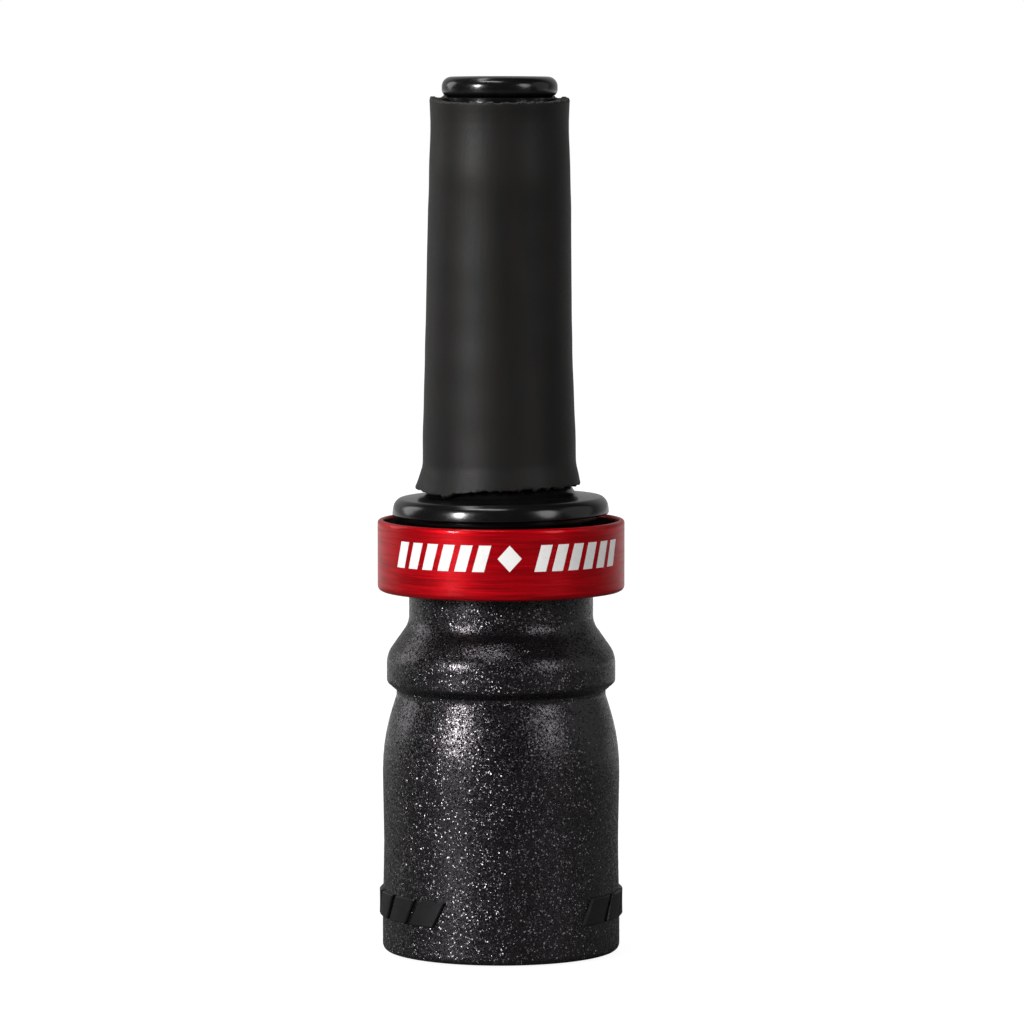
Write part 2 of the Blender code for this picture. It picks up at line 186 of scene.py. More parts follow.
HEM_OFFSETS = (0.37, 0.05, -0.25, -0.38, -0.66, -0.68, -0.66, -0.40, -0.25, -0.05, 0.12, 0.19, 0.33, 0.37)
HEM_WAVE = 0.05
HEM_HARMONICS = range(5, 22)
HEM_REACH = 3.0
BURRS = 90  # round each end
BURR_HEIGHTS = (0.05, 0.24)
BURR_WIDTHS = (0.010, 0.026)  # radians
BURR_REACH = 0.22
RAGGED = 0.075
INNER_BURR = 0.35  # the share of a burr's height on the inner part of a cut
TOP_INNER_R = 8.9  # the inner part ends at this radius at the top
HEM_INNER_R = 10.6  # and at this one at the hem
LINING = -0.5  # the lining's normals point inward by more than this
SWELL = 0.38  # how far the front stands proud under the lip
SWELL_Z = 107.6
SWELL_REACH = 3.6

# Tone board, wedge and reed
BOARD_R = 5.9
SHANK_R = 6.3
SHANK_HIGH_Z = 60.0
PLUG_R = 7.1
PLUG_HIGH_Z = 51.7
PLUG_SEAL = (6.14, 45.5, 0.7)  # an O-ring groove's floor radius, height and half width
TIE_SEAL = (5.5, 66.0, 0.6)  # the reed band's, across board and wedge
AXIS_R = 0.8  # the turned blanks are hollow inside this
LAY_START_Z = 72.0
LAY_DROP = 1.15  # how far the lay falls away from the reed at its tip
LAY_STEPS = 24
CHANNEL_WIDTH = 4.4
CHANNEL_LOW_Z = 60.6
CHANNEL_HIGH_Z = 104.0
CHANNEL_DEPTHS = (-3.0, 2.0)
BORE_R = 2.1
BORE_LENGTH = 26.0
BORE_Y = 0.8
BORE_MIDDLE = 11.0  # above the board's foot
CUTTER_HALF = 14.0  # wider than anything it cuts
CUTTER_DEPTH = 9.0
WEDGE_R = 6.2
WEDGE_CUT_Y = 8.0  # its cutter reaches from the board's face to here
REED_BUTT_FILLET = 0.3
REED_TIP_FILLET = 2.5
REED_EDGE = 0.06
REED_SKIN = 0.1  # the reed's two faces lie further than this from its middle
SAME_PLANE = 1e-6  # metres

# Stage, in metres
CAMERA_PLACE = (0.0, -0.800, 0.12894)
CAMERA_PITCH = 4.87  # degrees below the horizon
CAMERA_PAN = -0.108
CAMERA_LENS = 204.54
SENSOR_WIDTH = 36
LIGHT_AIM = (0, 0, 0.06)
LIGHT_DISTANCE = 1.0
LIGHTS = (  # name, degrees to the right, degrees up, width and height, watts
    ("key_strip", -46, 17, (0.20, 0.34), 9.2),
    ("fill_ring", 52, 21, (0.38, 0.56), 2.25),
    ("side_card", -118, 18, (0.45, 0.60), 1.6),
    ("right_card", 95, 18, (0.80, 0.90), 0.7),
    ("overhead", -108, 72, (1.10, 0.12), 1.6),
    ("top_card", -30, 66, (0.60, 0.12), 2.2),
)
SOFT_LIGHT = ("soft_front", 22, 15, (0.90, 0.60), 1.6)
STUDIO_DIM = 0.012
BACKDROP = 0.39
BACKDROP_EDGE = (0.36, 0.90)  # it rises from the dim studio between these, as parts of straight back
FLOOR_R = 3.0
FLOOR_SIDES = 96
FLOOR_Z = -0.0001
HALO = (0.05, 0.25)  # the floor looks a little darker near the call, and white beyond these distances
HALO_WHITE = 0.93
SWEEP = (0.12, 0.45)  # the light it gives rises between these depths behind the call
SWEEP_STRENGTH = 0.65
LAMP_EDGE = (0.012, 0.013)  # the light inside the bell ends between these distances
LAMP_STRENGTH = 1.5


def curve_points(corners, arc_step=ARC_STEP):
    """The points of a closed outline from its (a, b) or (a, b, fillet radius) corners."""
    points = []
    for i, corner in enumerate(corners):
        here = Vector(corner[:2])
        before = Vector(corners[i - 1][:2]) - here
        after = Vector(corners[(i + 1) % len(corners)][:2]) - here
        turn = math.pi - before.angle(after)
        radius = corner[2] if len(corner) > 2 else 0
        if radius <= 0 or turn < STRAIGHT:
            points.append(here)
            continue
        tangent = radius * math.tan(turn / 2)
        start = here + before.normalized() * tangent
        end = here + after.normalized() * tangent
        middle = (before.normalized() + after.normalized()).normalized()
        centre = here + middle * (radius / math.cos(turn / 2))
        steps = max(2, math.ceil(turn / arc_step))
        for k in range(steps + 1):
            to_start = math.sin(turn * (1 - k / steps)) / math.sin(turn)
            to_end = math.sin(turn * k / steps) / math.sin(turn)
            points.append(centre + to_start * (start - centre) + to_end * (end - centre))
    return points


def resampled(points, spacing_at):
    """A closed outline walked again, with points as far apart as spacing_at(radius, height, normal) asks."""
    loop = np.array([tuple(p) for p in points] + [tuple(points[0])])
    lengths = np.hypot(*np.diff(loop, axis=0).T)
    loop = loop[np.append(True, lengths > SHORTEST)]
    steps = np.diff(loop, axis=0)
    lengths = np.hypot(*steps.T)
    placed = [loop[0]]
    for start, step, length in zip(loop[:-1], steps, lengths):
        normal = (-step[1] / length, step[0] / length)
        middle = start + step / 2
        pieces = max(1, math.ceil(length / spacing_at(middle[0], middle[1], normal)))
        placed += [start + step * (k + 1) / pieces for k in range(pieces)]
    kept = [placed[0]]
    for point in placed[1:-1]:
        middle = (point + kept[-1]) / 2
        along = point - kept[-1]
        length = math.hypot(*along)
        if length > CROWDED * spacing_at(middle[0], middle[1], (-along[1] / length, along[0] / length)):
            kept.append(point)
    return np.array(kept)


def outline_normals(loop):
    """The outward unit normals of a closed outline that runs down the outside and back up the inside."""
    along = np.roll(loop, -1, axis=0) - np.roll(loop, 1, axis=0)
    along /= np.hypot(*along.T)[:, None]
    return np.stack([-along[:, 1], along[:, 0]], axis=1)


def ring_mesh(name, radii, heights, sides, shift_x=None):
    """A closed mesh from rings of points: radii and heights have a row for each ring of the outline."""
    rings = radii.shape[0]
    angles = np.arange(sides) * (2 * math.pi / sides)
    x = radii * np.cos(angles)
    if shift_x is not None:
        x = x + shift_x
    points = np.stack([x, radii * np.sin(angles), heights], axis=-1).reshape(-1, 3) * MM
    ring, side = np.meshgrid(np.arange(rings), np.arange(sides), indexing="ij")
    next_ring = (ring + 1) % rings
    next_side = (side + 1) % sides
    here, there = ring * sides, next_ring * sides
    corners = (here + side, there + side, there + next_side, here + next_side)
    faces = np.stack(corners, axis=-1).reshape(-1, 4)
    mesh = bpy.data.meshes.new(name)
    mesh.from_pydata(points.tolist(), [], faces.tolist())
    return mesh


def mesh_from(name, shape):
    """A mesh of that bmesh, its faces turned outward."""
    bmesh.ops.recalc_face_normals(shape, faces=shape.faces)
    mesh = bpy.data.meshes.new(name)
    shape.to_mesh(mesh)
    shape.free()
    return mesh


def add(name, mesh, *materials):
    obj = bpy.data.objects.new(name, mesh)
    bpy.context.scene.collection.objects.link(obj)
    for mat in materials:
        mesh.materials.append(mat)
    return obj


def shade(obj, sharp_degrees=None):
    obj.data.shade_smooth()
    if sharp_degrees:
        obj.data.set_sharp_from_angle(angle=math.radians(sharp_degrees))
    return obj


def turned(name, corners, mat, sides, spacing=None, sharp_degrees=50):
    """A plain turned piece from its outline's corners."""
    points = curve_points(corners)
    loop = resampled(points, lambda r, z, n: spacing) if spacing else np.array([tuple(p) for p in points])
    radii = np.repeat(loop[:, :1], sides, axis=1)
    heights = np.repeat(loop[:, 1:], sides, axis=1)
    return shade(add(name, ring_mesh(name, radii, heights, sides), mat), sharp_degrees)


def finish_piece(obj, body, slot, *nodes):
    """The piece moves with that body and stands for those CAD nodes, which are hidden. The slot is not used.
    """
    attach(obj, body)
    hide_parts(*nodes)
    return obj


def smooth_noise(rng, count, harmonics):
    """A periodic random line of count values from -1 to 1, made of the given harmonics."""
    angle = np.arange(count) * (2 * math.pi / count)
    line = np.zeros(count)
    for h in harmonics:
        line += rng.normal() * np.cos(h * angle) + rng.normal() * np.sin(h * angle)
    return line / np.abs(line).max()


# Materials ----------------------------------------------------------------------------------------------


# A Mix node's sockets for colours share their names with its others, so they are reached by index
MIX_SHARE, MIX_FIRST, MIX_SECOND, MIX_COLOUR = 0, 6, 7, 2


class Shader:
    """The node tree of a material or world, with short ways to add and join its nodes."""

    def __init__(self, owner, surface="Principled BSDF"):
        owner.use_nodes = True
        self.owner = owner
        self.tree = owner.node_tree
        self.surface = self.tree.nodes[surface]

    def plain(self, **values):
        for name, value in values.items():
            self.surface.inputs[name.replace("_", " ")].default_value = value
        return self

    def node(self, kind, inputs=None, **settings):
        made = self.tree.nodes.new(kind)
        for name, value in settings.items():
            setattr(made, name, value)
        for name, value in (inputs or {}).items():
            if isinstance(value, bpy.types.NodeSocket):
                self.tree.links.new(value, made.inputs[name])
            else:
                made.inputs[name].default_value = value
        return made

    def place(self, scale=(1, 1, 1)):
        """The point on the piece, in metres, stretched by scale."""
        here = self.node("ShaderNodeTexCoord").outputs["Object"]
        return self.node("ShaderNodeMapping", {"Vector": here, "Scale": scale}).outputs["Vector"]

    def noise(self, size_mm, stretch=(1, 1, 1), detail=2.0, roughness=0.5):
        """Soft noise whose grains are about size_mm across, times stretch along each axis."""
        scale = tuple(1 / (size_mm * MM * s) for s in stretch)
        values = {"Vector": self.place(scale), "Scale": 1.0, "Detail": detail, "Roughness": roughness}
        return self.node("ShaderNodeTexNoise", values).outputs["Fac"]

    def ramp(self, value, low, high, to_low=0.0, to_high=1.0, **settings):
        """The value with low to high taken to to_low to to_high, and no further."""
        values = {"Value": value, "From Min": low, "From Max": high, "To Min": to_low, "To Max": to_high}
        return self.node("ShaderNodeMapRange", values, **settings).outputs["Result"]

    def mix(self, share, first, second):
        inputs = {MIX_SHARE: share}
        for index, colour in ((MIX_FIRST, first), (MIX_SECOND, second)):
            inputs[index] = colour if isinstance(colour, bpy.types.NodeSocket) else (*colour, 1.0)
        return self.node("ShaderNodeMix", inputs, data_type="RGBA").outputs[MIX_COLOUR]

    def bump(self, height, depth_mm, strength=1.0, normal=None):
        values = {"Height": height, "Distance": depth_mm * MM, "Strength": strength}
        if normal:
            values["Normal"] = normal
        return self.node("ShaderNodeBump", values).outputs["Normal"]

    def use(self, **sockets):
        for name, socket in sockets.items():
            self.tree.links.new(socket, self.surface.inputs[name.replace("_", " ")])
        return self.owner


def new_material(name):
    return Shader(bpy.data.materials.new(name))


def stippled_plastic():
    """Black moulded plastic with a coarse stipple: each grain has its own tilt and gloss, so some glint."""
    s = new_material("stippled_plastic")
    s.plain(IOR=1.54, Specular_Tint=(1.0, 0.93, 0.99, 1.0))
    grains = {"Vector": s.place(), "Scale": 1 / (GLINT_SIZE * MM)}
    cells = s.node("ShaderNodeTexVoronoi", grains, feature="F1").outputs["Color"]
    lean = {0: cells, 1: (2 * GLINT_TILT,) * 3, 2: (-GLINT_TILT,) * 3}
    tilt = s.node("ShaderNodeVectorMath", lean, operation="MULTIPLY_ADD").outputs["Vector"]
    chance = s.node("ShaderNodeSeparateColor", {"Color": cells})
    bias = {0: chance.outputs["Blue"], 1: GLINT_BIAS}
    share = s.node("ShaderNodeMath", bias, operation="POWER").outputs["Value"]
    tilt = s.node("ShaderNodeVectorMath", {0: tilt, "Scale": share}, operation="SCALE").outputs["Vector"]
    skin = s.node("ShaderNodeNewGeometry").outputs["Normal"]
    facet = s.node("ShaderNodeVectorMath", {0: skin, 1: tilt}, operation="ADD").outputs["Vector"]
    facet = s.node("ShaderNodeVectorMath", {0: facet}, operation="NORMALIZE").outputs["Vector"]
    fine = s.noise(0.16, detail=1.0)
    normal = s.bump(fine, 0.016, normal=facet)
    blotch = s.noise(5.0, detail=3.0)
    colour = s.mix(s.ramp(blotch, 0.35, 0.65), (0.0028, 0.0025, 0.0029), (0.0046, 0.0041, 0.0045))
    rough = s.ramp(chance.outputs["Green"], 0.25, 0.95, 0.16, 0.42)
    return s.use(Base_Color=colour, Roughness=rough, Normal=normal)


def dull_plastic():
    """The same plastic on the head's top face, rubbed dull under the collar."""
    s = new_material("dull_plastic")
    s.plain(Specular_IOR_Level=0.0)
    rub = s.noise(0.3, detail=3.0)
    colour = s.mix(s.ramp(rub, 0.35, 0.7), (0.0040, 0.0037, 0.0040), (0.0110, 0.0102, 0.0105))
    return s.use(Base_Color=colour, Roughness=s.ramp(rub, 0.3, 0.7, 0.6, 0.8), Normal=s.bump(rub, 0.01))


def pad_plastic():
    """The same plastic where the mould was polished."""
    s = new_material("pad_plastic")
    s.plain(Specular_IOR_Level=0.34)
    normal = s.bump(s.noise(0.5, detail=3.0), 0.006)
    colour = s.mix(s.ramp(s.noise(3.0), 0.3, 0.7), (0.0050, 0.0046, 0.0050), (0.0080, 0.0074, 0.0078))
    rough = s.ramp(s.noise(0.25, detail=3.0), 0.3, 0.7, 0.36, 0.52)
    return s.use(Base_Color=colour, Roughness=rough, Normal=normal)


def gloss_plastic():
    """High gloss black, with faint moulding ripple and dust-fine scuffs."""
    s = new_material("gloss_plastic")
    s.plain(IOR=1.5)
    ripple = s.bump(s.noise(1.8, detail=2.0), 0.0035)
    normal = s.bump(s.noise(0.22, detail=1.0), 0.0012, normal=ripple)
    colour = s.mix(s.ramp(s.noise(4.0), 0.3, 0.7), (0.0036, 0.0034, 0.0038), (0.0060, 0.0056, 0.0060))
    rough = s.ramp(s.noise(0.35, detail=4.0, roughness=0.7), 0.40, 0.75, 0.17, 0.27)
    return s.use(Base_Color=colour, Roughness=rough, Normal=normal)


def red_anodised():
    """Dyed aluminium with fine lathe lines and longer stains round it, under its clear oxide."""
    s = new_material("red_anodised")
    s.plain(Metallic=0.5, IOR=1.5, Specular_IOR_Level=0.06)
    s.plain(Coat_Weight=0.22, Coat_Roughness=0.085, Coat_IOR=1.5)
    lines = s.noise(0.11, stretch=(90, 90, 1), detail=3.0, roughness=0.65)
    stains = s.noise(0.5, stretch=(17, 17, 1), detail=3.0, roughness=0.62)
    colour = s.mix(s.ramp(lines, 0.36, 0.66), (0.40, 0.0004, 0.0040), (0.60, 0.0008, 0.0072))
    colour = s.mix(s.ramp(stains, 0.45, 0.64, 0.0, 0.70), colour, (0.26, 0.0003, 0.0025))
    rough = s.ramp(lines, 0.35, 0.68, 0.32, 0.48)
    return s.use(Base_Color=colour, Roughness=rough, Normal=s.bump(lines, 0.006))


def white_ink():
    """Screen-printed white ink, a little thin in places."""
    s = new_material("white_ink")
    speck = s.noise(0.14, detail=2.0)
    thin = s.noise(0.9, detail=3.0)
    colour = s.mix(s.ramp(speck, 0.60, 0.74, 0.0, 0.35), (0.88, 0.875, 0.86), (0.64, 0.44, 0.42))
    colour = s.mix(s.ramp(thin, 0.55, 0.75, 0.0, 0.16), colour, (0.68, 0.42, 0.41))
    rough = s.ramp(speck, 0.3, 0.7, 0.42, 0.6)
    return s.use(Base_Color=colour, Roughness=rough, Normal=s.bump(speck, 0.004))


def sleeve_rubber():
    """Matt black extruded rubber: a dull skin with faint brown and grey drifts along its length."""
    s = new_material("sleeve_rubber")
    s.plain(Specular_IOR_Level=0.24)
    drift = s.noise(2.4, stretch=(1, 1, 9), detail=3.0)
    cloud = s.noise(5.5, detail=3.0)
    grain = s.noise(0.13, detail=2.0)
    colour = s.mix(s.ramp(drift, 0.35, 0.68), (0.0052, 0.0050, 0.0049), (0.0088, 0.0073, 0.0060))
    colour = s.mix(s.ramp(cloud, 0.40, 0.72, 0.0, 0.5), colour, (0.0078, 0.0077, 0.0070))
    normal = s.bump(s.noise(0.5, stretch=(1, 1, 14), detail=2.0), 0.010)
    normal = s.bump(grain, 0.010, normal=normal)
    return s.use(Base_Color=colour, Roughness=s.ramp(grain, 0.3, 0.7, 0.46, 0.60), Normal=normal)


def cut_rubber():
    """The sleeve's knife-cut ends, paler and torn."""
    s = new_material("cut_rubber")
    tear = s.noise(0.18, detail=4.0, roughness=0.7)
    colour = s.mix(s.ramp(tear, 0.38, 0.66), (0.014, 0.0135, 0.0120), (0.062, 0.059, 0.050))
    return s.use(Base_Color=colour, Roughness=s.ramp(tear, 0.3, 0.7, 0.65, 0.85), Normal=s.bump(tear, 0.08))


def ring_rubber():
    """Smooth nitrile, slightly greased."""
    s = new_material("ring_rubber")
    smear = s.noise(0.8, detail=3.0)
    colour = s.mix(s.ramp(smear, 0.3, 0.7), (0.0070, 0.0070, 0.0072), (0.0130, 0.0128, 0.0126))
    rough = s.ramp(smear, 0.3, 0.7, 0.28, 0.48)
    return s.use(Base_Color=colour, Roughness=rough, Normal=s.bump(smear, 0.006))


def board_plastic():
    """The tone board's dark satin plastic, with the fine lines of its mould."""
    s = new_material("board_plastic")
    lines = s.noise(0.16, stretch=(1, 1, 60), detail=2.0)
    colour = s.mix(s.ramp(lines, 0.35, 0.7), (0.030, 0.031, 0.034), (0.052, 0.053, 0.057))
    rough = s.ramp(lines, 0.3, 0.7, 0.28, 0.42)
    return s.use(Base_Color=colour, Roughness=rough, Normal=s.bump(lines, 0.008))


def reed_film():
    """Frosted polyester film."""
    s = new_material("reed_film")
    frost = s.noise(0.12, detail=3.0)
    cloud = s.noise(3.0)
    colour = s.mix(s.ramp(cloud, 0.3, 0.7), (0.62, 0.60, 0.52), (0.74, 0.73, 0.66))
    rough = s.ramp(frost, 0.3, 0.7, 0.30, 0.46)
    return s.use(Base_Color=colour, Roughness=rough, Normal=s.bump(frost, 0.003))


def wedge_cork():
    """Cut cork: tan grains with dark pores."""
    s = new_material("wedge_cork")
    cells = s.node("ShaderNodeTexVoronoi", {"Vector": s.place(), "Scale": 1 / (0.9 * MM)}, feature="F1")
    pores = s.noise(0.5, detail=4.0, roughness=0.7)
    colour = s.mix(s.ramp(cells.outputs["Distance"], 0.1, 0.7), (0.50, 0.31, 0.16), (0.33, 0.19, 0.09))
    colour = s.mix(s.ramp(pores, 0.60, 0.70), colour, (0.09, 0.05, 0.025))
    return s.use(Base_Color=colour, Roughness=s.ramp(pores, 0.3, 0.7, 0.7, 0.9), Normal=s.bump(pores, -0.06))


# Barrel -------------------------------------------------------------------------------------------------

# Down the outside from the head's top, across the rim, and back up the inside
BARREL_CORNERS = [
    (HEAD_R, HEAD_TOP_Z, 0.4),
    (HEAD_R, HEAD_BOTTOM_Z, 0.3),
    (NECK_R, HEAD_BOTTOM_Z, 0.8),
    (NECK_R, 45.5, 3.5),
    (RIB_R, 41.15, 4.0),
    (RIB_R, 37.37, 0.7),
    (GROOVE_R, 36.21, 0.4),
    (GROOVE_R, 35.49, 0.4),
    (BELL_R, 29.45, 28.0),
    (BELL_R, 23.7),
    (16.19, 15.1, 120.0),
    (FOOT_R, PAD_BOTTOM_Z, 40.0),
    (FOOT_R, 0.0, 0.9),
    (14.1, 0.0, 0.5),
    (BELL_BORE_R, 24.7, 12.0),
    (THROAT_R, 35.0, 5.0),
    (THROAT_R, SOCKET_FLOOR_Z, 0.3),
    (SOCKET_R, SOCKET_FLOOR_Z, 0.2),
    (SOCKET_R, HEAD_TOP_Z, 0.6),
]


def behind_band(z, normal):
    return normal[0] > OUTWARD and HIDDEN_LOW_Z < z < HIDDEN_HIGH_Z


def barrel_spacing(r, z, normal):
    flat_rim = z < RIM_FLAT_Z and abs(normal[0]) < LEVEL
    coarse = normal[0] < INWARD or flat_rim or behind_band(z, normal)
    return COARSE_SPACING if coarse else GRAIN_SPACING


def barrel_mesh():
    """The barrel's skin, its outside raised into grains and its bore and bell left smooth."""
    loop = resampled(curve_points(BARREL_CORNERS, BARREL_ARC_STEP), barrel_spacing)
    normals = outline_normals(loop)
    weight = np.clip((normals[:, 0] - INWARD) / -INWARD, 0, 1)
    for i, ((_, z), normal) in enumerate(zip(loop, normals)):
        if z < RIM_FLAT_Z or behind_band(z, normal):
            weight[i] = 0
    rng = np.random.default_rng(BARREL_SEED)
    grain = rng.normal(size=(len(loop), BARREL_SIDES))
    around = sum(np.roll(grain, step, axis) for axis in (0, 1) for step in (-1, 1)) / 4
    grain = np.tanh((grain - STIPPLE_CONTRAST * around) / grain.std())
    height = STIPPLE_HEIGHT * weight[:, None] * grain
    radii = loop[:, :1] + normals[:, :1] * height
    heights = loop[:, 1:] + normals[:, 1:] * height
    return ring_mesh("barrel_body", radii, heights, BARREL_SIDES)


def on_cylinder(radius, angle, z):
    """A point in metres, from millimetres and radians."""
    return Vector((radius * math.cos(angle), radius * math.sin(angle), z)) * MM


def pad_solid(shape, centre_degrees):
    """One slanted pad: a curved block sunk in the bell, its outer edge broken by a bevel."""
    edge = math.radians(PAD_WIDTH) / 2
    bevel = -edge + PAD_EDGE / PAD_R
    spots = [-edge, bevel, *(bevel * (1 - 2 * k / PAD_COLUMNS) for k in range(1, PAD_COLUMNS)), -bevel, edge]
    levels = (0.0, PAD_EDGE, PAD_HEIGHT - PAD_EDGE, PAD_HEIGHT)
    insets = (PAD_EDGE, 0.0, 0.0, PAD_EDGE)
    outer = []
    for level, inset in zip(levels, insets):
        lean = PAD_LEAN * level / PAD_R
        row = []
        for k, spot in enumerate(spots):
            drop = max(inset, PAD_EDGE if k in (0, len(spots) - 1) else 0.0)
            angle = math.radians(centre_degrees) + lean + spot
            row.append(on_cylinder(PAD_R - drop, angle, PAD_BOTTOM_Z + level))
        outer.append(row)
    inner = []
    for row in (outer[0], outer[-1]):
        spokes = [Vector((p.x, p.y, 0)).normalized() for p in row]
        inner.append([spoke * PAD_SEAT_R * MM + Vector((0, 0, p.z)) for spoke, p in zip(spokes, row)])
    rows = [inner[0], *outer, inner[1]]
    verts = [[shape.verts.new(p) for p in row] for row in rows]
    for low, high in zip(verts, verts[1:]):
        for k in range(len(low) - 1):
            shape.faces.new((low[k], low[k + 1], high[k + 1], high[k]))
    first, last = verts[0], verts[-1]
    for k in range(len(first) - 1):
        shape.faces.new((first[k + 1], first[k], last[k], last[k + 1]))
    shape.faces.new([row[0] for row in verts])
    shape.faces.new([row[-1] for row in reversed(verts)])


def make_barrel(stippled, polished, dull):
    body = shade(add("barrel_body", barrel_mesh(), stippled, dull, polished))
    dull_index, polished_index = 1, 2
    for face in body.data.polygons:
        outward = face.normal.x * face.center.x + face.normal.y * face.center.y
        if face.center.z > (HEAD_TOP_Z - HEAD_TOP_DEPTH) * MM:
            face.material_index = dull_index
        elif outward < INWARD * face.center.xy.length:
            face.material_index = polished_index
    finish_piece(body, "barrel", "stippled_black", "barrel")
    shape = bmesh.new()
    middle = (PAD_COUNT - 1) / 2
    for side in (0, 180):
        for i in range(PAD_COUNT):
            pad_solid(shape, side + PAD_TURN + PAD_PITCH * (i - middle))
    pads = shade(add("grip_pads", mesh_from("grip_pads", shape), polished), 30)
    finish_piece(pads, "barrel", "stippled_black", "barrel")


# Band ---------------------------------------------------------------------------------------------------


def grid_rim(grid):
    """The vertices round the outside of a grid, in order."""
    first, last = grid[0], grid[-1]
    return [*first, *(row[-1] for row in grid[1:]), *reversed(last[:-1]), *(row[0] for row in grid[-2:0:-1])]


def print_patch(shape, low, high, across=5, up=8):
    """A thin solid of ink wrapped round the band. Its low and high edges are each two (arc, height) ends."""
    layers = []
    for radius in (BAND_R - 2 * PRINT_THICKNESS, BAND_R):
        grid = []
        for j in range(up + 1):
            ends = [Vector(low[i]).lerp(Vector(high[i]), j / up) for i in (0, 1)]
            row = []
            for k in range(across + 1):
                arc, z = ends[0].lerp(ends[1], k / across)
                row.append(shape.verts.new(on_cylinder(radius, arc / BAND_R - math.pi / 2, z)))
            grid.append(row)
        layers.append(grid)
    for grid in layers:
        for j in range(up):
            for k in range(across):
                shape.faces.new((grid[j][k], grid[j][k + 1], grid[j + 1][k + 1], grid[j + 1][k]))
    inner, outer = (grid_rim(grid) for grid in layers)
    for k in range(len(inner)):
        n = (k + 1) % len(inner)
        shape.faces.new((inner[k], inner[n], outer[n], outer[k]))


def slanted_bar(start):
    lean = PRINT_LEAN * PRINT_HEIGHT
    top = PRINT_LOW_Z + PRINT_HEIGHT
    low = ((start, PRINT_LOW_Z), (start + BAR_WIDTH, PRINT_LOW_Z))
    return low, ((start + lean, top), (start + lean + BAR_WIDTH, top))


def make_band(red, ink):
    low, high = BAND_LOW.z, BAND_HIGH.z
    outer = BAND_R - PRINT_THICKNESS
    inner = BAND_R - BAND_WALL
    corners = [(outer, high, 0.42), (outer, low, 0.7), (inner, low, 0.12), (inner, high, 0.18)]
    band = turned("band_ring", corners, red, BAND_SIDES, spacing=BAND_SPACING)
    finish_piece(band, "barrel", "red_anodised", "accent_band")

    shape = bmesh.new()
    arc = BAND_R * math.pi / 180
    for first in (LEFT_START, RIGHT_START):
        for i in range(BARS):
            print_patch(shape, *slanted_bar(first * arc + i * BAR_PITCH))
    middle_z = PRINT_LOW_Z + PRINT_HEIGHT / 2
    half = DIAMOND_WIDTH / 2
    centre = DIAMOND_AT * arc
    left, right = (centre - half, middle_z), (centre + half, middle_z)
    bottom, top = (centre, PRINT_LOW_Z), (centre, PRINT_LOW_Z + PRINT_HEIGHT)
    print_patch(shape, (left, bottom), (top, right))
    ink_marks = shade(add("band_print", mesh_from("band_print", shape), ink), 30)
    finish_piece(ink_marks, "barrel", "red_anodised", "accent_band")


# Mouthpiece ---------------------------------------------------------------------------------------------


def settle(mesh):
    """The small lean and tilt that the mouthpiece has taken in its socket."""
    for vertex in mesh.vertices:
        x, z = vertex.co.x, vertex.co.z / MM
        vertex.co.x += np.interp(z, LEAN_HEIGHTS, LEAN_SHIFTS) * MM
        vertex.co.z += COLLAR_TILT * x * np.interp(z, TILT_HEIGHTS, TILT_SHARES, left=0.0)


def groove(outer_r, floor_r, z, half_width):
    """The corners of a square groove in an outline that runs down."""
    top, bottom = z + half_width, z - half_width
    return [(outer_r, top), (floor_r, top), (floor_r, bottom), (outer_r, bottom)]


def prism(name, first, second):
    """A closed solid between two outlines of as many points, in millimetres."""
    shape = bmesh.new()
    ends = [[shape.verts.new(Vector(point) * MM) for point in outline] for outline in (first, second)]
    count = len(first)
    for k in range(count):
        n = (k + 1) % count
        shape.faces.new((ends[0][k], ends[0][n], ends[1][n], ends[1][k]))
    shape.faces.new(ends[0])
    shape.faces.new(reversed(ends[1]))
    return add(name, mesh_from(name, shape))


def slot_cutter(name, width, bottom, top, depths, steps=16):
    """A round-ended upright slot's cutter, between two depths in front of the axis."""
    radius = width / 2
    outline = []
    for centre, start in ((top - radius, 0), (bottom + radius, math.pi)):
        for k in range(steps + 1):
            angle = start + math.pi * k / steps
            outline.append((radius * math.cos(angle), centre + radius * math.sin(angle)))
    return prism(name, *([(x, -depth, z) for x, z in outline] for depth in depths))


def profile_cutter(name, outline):
    """A cutter with that (y, z) outline, wide enough to cut right through."""
    return prism(name, *([(x, y, z) for y, z in outline] for x in (-CUTTER_HALF, CUTTER_HALF)))


def cut(target, *cutters):
    """Applies the cutters to the target and removes them."""
    for other in cutters:
        made = target.modifiers.new("cut", "BOOLEAN")
        made.operation = "DIFFERENCE"
        made.solver = "EXACT"
        made.object = other
    bpy.context.view_layer.update()
    graph = bpy.context.evaluated_depsgraph_get()
    mesh = bpy.data.meshes.new_from_object(target.evaluated_get(graph))
    shape = bmesh.new()
    shape.from_mesh(mesh)
    bmesh.ops.remove_doubles(shape, verts=shape.verts, dist=SLIVER)
    bmesh.ops.dissolve_degenerate(shape, edges=shape.edges, dist=SLIVER)
    shape.to_mesh(mesh)
    shape.free()
    target.modifiers.clear()
    target.data = mesh
    for other in cutters:
        bpy.data.objects.remove(other)
    return target


